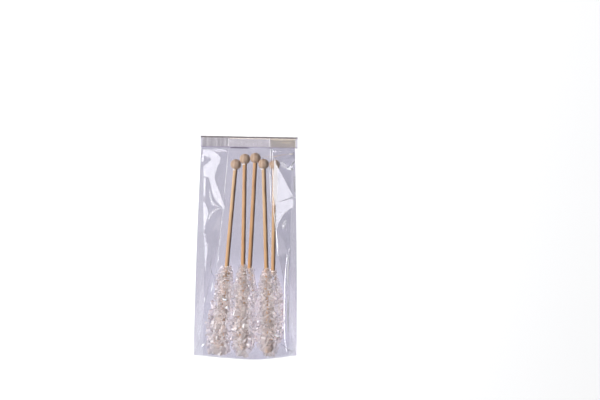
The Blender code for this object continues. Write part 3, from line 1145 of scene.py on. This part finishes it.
def make_ball(name, surface, rng):
    """A turned ball, a little flat at its end, with shallow turning marks."""
    profile = []
    for i in range(BALL_ROWS + 1):
        turn = math.pi * i / BALL_ROWS
        radius = BALL_RADIUS * (1 + BALL_MARKS * math.sin(9 * turn + rng.uniform(0, 0.5)))
        flat = BALL_FLAT if turn < 0.5 else 1.0
        profile.append((radius * math.sin(turn), -radius * math.cos(turn) * flat))
    return lathe(name, profile, BALL_SIDES, surface)


def make_sugared_wood(stick, length, surface, rng):
    """The stick's lumpy skin inside the candy: brown where the wood shows and pale where sugar sits."""
    low = stick.start + SKIN_FROM
    profile = [(0, low)]
    for i in range(SKIN_ROWS + 1):
        profile.append((DOWEL_RADIUS * rng.uniform(*SKIN_SHARES), mix(low, length, i / SKIN_ROWS)))
    profile.append((0, length))
    return lathe(f"sugared_wood_{stick.name}", profile, SKIN_SIDES, surface, sharp=20.0)


def make_dowel(name, length, surface, rng):
    """A round stick that is bent a little, one way or another."""
    profile = [(0, DOWEL_FROM)]
    for i in range(DOWEL_ROWS + 1):
        radius = DOWEL_RADIUS * (1 + rng.uniform(-0.012, 0.012))
        profile.append((radius, mix(DOWEL_FROM, length, i / DOWEL_ROWS)))
    profile.append((0, length))
    piece = lathe(name, profile, DOWEL_SIDES, surface)
    bend, phase = rng.uniform(*DOWEL_BEND), rng.uniform(0, 6.28)
    for vertex in piece.data.vertices:
        share = vertex.co.z / length
        sway = bend * math.sin(math.pi * share)
        vertex.co.x += sway * math.cos(phase)
        vertex.co.y += sway * math.sin(phase)
    return piece


GLUED = ("1", "2", "4")  # sugar has dried at the necks of these balls
GLUE_GRAINS = 4
GLUE_SIZE = 1.2 * MM
GLUE_TURNS = (-1.7, 0.2)  # on the side that shows, to the left


def make_glue(name, surface, rng):
    """Crumbs of dried sugar where a stick goes into its ball."""
    grains = []
    for _ in range(GLUE_GRAINS):
        turn = rng.uniform(*GLUE_TURNS)
        height = BALL_RADIUS * rng.uniform(0.72, 1.08)
        out = max(math.sqrt(max(BALL_RADIUS**2 - height**2, 0)), DOWEL_RADIUS)
        shape = crystal_shape(rng, GLUE_SIZE * rng.uniform(0.6, 1.1), 0.2)
        grains.append(as_mesh(shape, around_stick(out, turn, height)))
    return crystals(name, grains, surface)


# ---------------------------------------------------------------------------------------------------
# Sugar crystals.

CORE_SHARE = 0.50  # the body under the crystals, as a share of the candy's reach
CORE_ROWS, CORE_SIDES = 26, 14
CREVICE_SHADE_FROM = 0.72  # nearer the stick than this share of the candy's reach a face starts to get painted shade
CREVICE_SHADE_SHARE = 0.22  # how much painted shade a face nearest the stick gets, where bare wood is 1
FINE_GRAIN = 1.7 * MM
LARGE_GRAIN = 5.0 * MM
GRAIN_GROWTH = 1.3  # how late the grains grow coarser down the stick
GRAIN_SPACING = (0.62, 0.60)  # round the stick and along it, as shares of a grain's size
GRAIN_BLUNT = (0.10, 0.26)
GRAIN_SLANT = 0.22
END_GRAINS = 12
FILM_GAP = 0.5 * MM
FLECKS = 60  # bare patches of wood along the front of each stick
FLECK_SPREAD = 1.5 * MM
FLECK_SIZE = (0.35 * MM, 0.8 * MM)
FLECK_AREA = 2.5 * MM**2  # no face larger than this is bare
GLINTS = 4  # faces on each candy's front painted near white as highlights
GLINT_AREAS = (1.2 * MM**2, 7 * MM**2)
GLINT_FACING = -0.75  # the front is towards a stick's own -Y
THIN_SHARE = 0.6  # how thin the sugar is at the candy's sides
THIN_SPAN = (0.35, 0.95)  # from where to where it thins, as shares of the candy's reach


def crystal_shape(rng, size, blunt):
    """One slanted sugar crystal, longer than wide, with some of its edges cut."""
    shape = bmesh.new()
    bmesh.ops.create_cube(shape, size=1.0)
    for vertex in shape.verts:
        vertex.co.x += GRAIN_SLANT * vertex.co.z
    edges = [edge for edge in shape.edges if rng.random() < 0.7]
    bmesh.ops.bevel(shape, geom=edges, offset=blunt, segments=1, affect="EDGES", clamp_overlap=True)
    stretch = (rng.uniform(0.75, 1.05), rng.uniform(0.6, 0.9), rng.uniform(0.9, 1.35))
    shape.transform(Matrix.Diagonal((*[s * size for s in stretch], 1)))
    turn = rng.uniform(0, 2 * math.pi)
    axis = Vector((rng.gauss(0, 1), rng.gauss(0, 1), rng.gauss(0, 1)))
    shape.transform(Matrix.Rotation(turn, 4, axis))
    return shape


def around_stick(reach, turn, height):
    return Vector((reach * math.cos(turn), reach * math.sin(turn), height))


def as_mesh(shape, place):
    shape.transform(Matrix.Translation(place))
    mesh = bpy.data.meshes.new("grain")
    shape.to_mesh(mesh)
    shape.free()
    return mesh


def united(meshes):
    """All the closed meshes joined into one skin, in pairs, so that no faces are left inside."""
    first, second = add_object("first", meshes[0]), add_object("second", meshes[0])
    join = first.modifiers.new("join", "BOOLEAN")
    join.operation = "UNION"
    join.solver = "MANIFOLD"
    join.object = second
    while len(meshes) > 1:
        joined = []
        for one, other in zip(meshes[::2], meshes[1::2]):
            first.data, second.data = one, other
            depsgraph = bpy.context.evaluated_depsgraph_get()
            depsgraph.update()
            joined.append(bpy.data.meshes.new_from_object(first.evaluated_get(depsgraph)))
        if len(meshes) % 2:
            joined.append(meshes[-1])
        meshes = joined
    for helper in (first, second):
        bpy.data.objects.remove(helper, do_unlink=True)
    return meshes[0]


def crystals(name, grains, surface):
    """One piece made of grains that have grown into each other, with flat faces."""
    mesh = united(grains)
    mesh.name = name
    mesh.materials.clear()
    mesh.materials.append(surface)
    mesh.shade_flat()
    return add_object(name, mesh)


def candy_core(stick, length, rng):
    """A lumpy tapered body under the crystals, closed at both ends."""
    shape = bmesh.new()
    rings = []
    for r in range(CORE_ROWS + 1):
        along = r / CORE_ROWS
        end = math.sqrt(max(1 - (2 * along - 1) ** 8, 0.02))
        ring = []
        for c in range(CORE_SIDES):
            turn = 2 * math.pi * (c + 0.5 * (r % 2)) / CORE_SIDES
            radius = stick.reach(along, turn) * CORE_SHARE * end * rng.uniform(0.86, 1.1)
            ring.append(shape.verts.new(around_stick(radius, turn, along * length)))
        rings.append(ring)
    for low, high in zip(rings, rings[1:]):
        for c in range(CORE_SIDES):
            d = (c + 1) % CORE_SIDES
            shape.faces.new((low[c], low[d], high[d], high[c]))
    shape.faces.new(rings[0][::-1])
    shape.faces.new(rings[-1])
    bmesh.ops.triangulate(shape, faces=shape.faces)
    bmesh.ops.recalc_face_normals(shape, faces=shape.faces)
    return shape


def make_candy(stick, length, place, surface, rng):
    """The crystals grown round one stick: fine at the top, large and blunt at the bottom."""
    start = stick.start
    grains = [as_mesh(candy_core(stick, length, rng), Vector((0, 0, start)))]
    along = 0.0
    while along < 1.0:
        size = mix(FINE_GRAIN, LARGE_GRAIN, along**GRAIN_GROWTH)
        girth = 2 * math.pi * stick.reach(along, math.pi / 4)
        around = max(6, int(girth / (size * GRAIN_SPACING[0])))
        phase = rng.uniform(0, 2 * math.pi)
        for i in range(around):
            turn = phase + 2 * math.pi * (i + rng.uniform(-0.4, 0.4)) / around
            grain = size * rng.choice((0.5, 0.7, 0.85, 1.0, 1.0, 1.3, 1.5))
            edge = stick.reach(along, turn) * rng.choice((0.7, 0.82, 0.9, 0.96, 1.02, 1.12))
            reach = max(edge - grain * 0.45, DOWEL_RADIUS)
            height = start + along * length + rng.uniform(-0.5, 0.5) * size
            shape = crystal_shape(rng, grain, rng.uniform(*GRAIN_BLUNT))
            grains.append(as_mesh(shape, around_stick(reach, turn, height)))
        along += size * GRAIN_SPACING[1] / length
    for _ in range(END_GRAINS):
        turn, out = rng.uniform(0, 2 * math.pi), math.sqrt(rng.random()) * 0.7
        reach = stick.reach(1.0, turn) * out
        spot = around_stick(reach, turn, start + length + rng.uniform(-0.5, 0.5) * MM)
        shape = crystal_shape(rng, LARGE_GRAIN * rng.uniform(0.5, 0.9), rng.uniform(*GRAIN_BLUNT))
        grains.append(as_mesh(shape, spot))
    piece = crystals(f"candy_{stick.name}", grains, surface)
    keep_inside(piece.data, place)
    mark_faces(piece.data, stick, length, rng)
    return piece


def keep_inside(mesh, place):
    """Presses the crystals that touch the film flat against it."""
    back = place.inverted()
    low_y, low_z = BOTTOM_Y + FILM_GAP, BACK_LIFT + FILM_GAP
    for vertex in mesh.vertices:
        spot = place @ vertex.co
        share = max((spot.y - BOTTOM_Y) / BAG_LENGTH, 0)
        high_z = float(front_height(share, np.array(spot.x))) - FILM_GAP
        if spot.y < low_y or not low_z < spot.z < high_z:
            spot.y = max(spot.y, low_y)
            spot.z = min(max(spot.z, low_z), high_z)
            vertex.co = back @ spot


def set_face_values(mesh, name, values):
    mesh.attributes.new(name, "FLOAT", "FACE").data.foreach_set("value", values)


def mark_faces(mesh, stick, length, rng):
    """Gives each face the shares that candy_material reads.

    A face near the stick, between the crystals, gets painted shade, and the flecks of bare wood along the
    stick's front take the wood's colour whole. A few flat faces at the front get painted highlights. The
    sugar is thin towards either side.
    """
    count = len(mesh.polygons)
    centres, ways, areas = np.empty(3 * count), np.empty(3 * count), np.empty(count)
    mesh.polygons.foreach_get("center", centres)
    mesh.polygons.foreach_get("normal", ways)
    mesh.polygons.foreach_get("area", areas)
    x, y, z = centres.reshape(-1, 3).T
    facing = ways.reshape(-1, 3)[:, 1]
    shares = (z - stick.start) / length
    front = (y < 0) & (facing < 0.1) & (areas < FLECK_AREA)
    bare = np.zeros(count, bool)
    for _ in range(FLECKS):
        across, along = rng.gauss(0, FLECK_SPREAD), stick.start + length * rng.uniform(0.03, 0.85)
        bare |= front & (np.hypot(x - across, z - along) < rng.uniform(*FLECK_SIZE))
    reaches = np.array([stick.reach(*place) for place in zip(shares, np.arctan2(y, x))])
    # painted shade: faces darken towards the stick's brown the nearer they lie to it
    crevice_shade_and_bare_wood = CREVICE_SHADE_SHARE * smooth_step(CREVICE_SHADE_FROM, CORE_SHARE, np.hypot(x, y) / reaches)
    set_face_values(mesh, "crevice_shade_and_bare_wood", np.where(bare, 1.0, crevice_shade_and_bare_wood))
    # painted highlights on a few flat faces at the front
    low, high = GLINT_AREAS
    flat = (facing < GLINT_FACING) & (areas > low) & (areas < high) & ~bare
    chosen = rng.sample(np.flatnonzero(flat).tolist(), min(GLINTS, int(flat.sum())))
    set_face_values(mesh, "painted_glint", np.isin(np.arange(count), chosen).astype(float))
    widths = np.array([stick.reach(*place) for place in zip(shares, np.where(x > 0, 0.0, math.pi))])
    set_face_values(mesh, "thin", THIN_SHARE * smooth_step(*THIN_SPAN, np.abs(x) / widths))


def make_sticks():
    plain = dowel_material("dowel_plain", (0.52, 0.35, 0.20), (0.36, 0.22, 0.11))
    tan = dowel_material("dowel_tan", (0.50, 0.30, 0.15), (0.32, 0.15, 0.055))
    woods = {"1": plain, "2": tan, "3": tan, "4": plain, "5": plain}
    ball_wood = ball_material()
    sugared = sugared_material()
    candy = candy_material("rock_candy", (0.60, 0.555, 0.55), (0.475, 0.43, 0.42), 0.62)
    glue = candy_material("dried_sugar", (0.86, 0.84, 0.86), (0.74, 0.71, 0.73), 0.2)
    for stick in STICKS:
        rng = random.Random(int(stick.name) * 17)
        place, length = stick_frame(stick.ball, stick.tip)
        pieces = [
            (make_ball(f"ball_{stick.name}", ball_wood, rng), "stick_wood"),
            (make_dowel(f"dowel_{stick.name}", length - DOWEL_SHORT, woods[stick.name], rng), "stick_wood"),
            (make_sugared_wood(stick, length - SKIN_SHORT, sugared, rng), "stick_wood"),
            (make_candy(stick, length - stick.start, place, candy, rng), "rock_candy"),
        ]
        if stick.name in GLUED:
            pieces.append((make_glue(f"glue_{stick.name}", glue, rng), "rock_candy"))
        for piece, slot in pieces:
            piece.matrix_world = place
            dress(piece, slot, "bag")


# ---------------------------------------------------------------------------------------------------
# The floor, and everything in turn.


def make_floor():
    half = FLOOR_SIZE / 2
    corners = [(x * half, y * half, -FLOOR_DROP) for x, y in ((-1, -1), (1, -1), (1, 1), (-1, 1))]
    floor = add_mesh("floor", corners, [(0, 1, 2, 3)], [floor_material()])


make_camera()
make_lights()
make_floor()
bag_film()
seal_strip()
strip_bars()
fine_creases()
make_sticks()
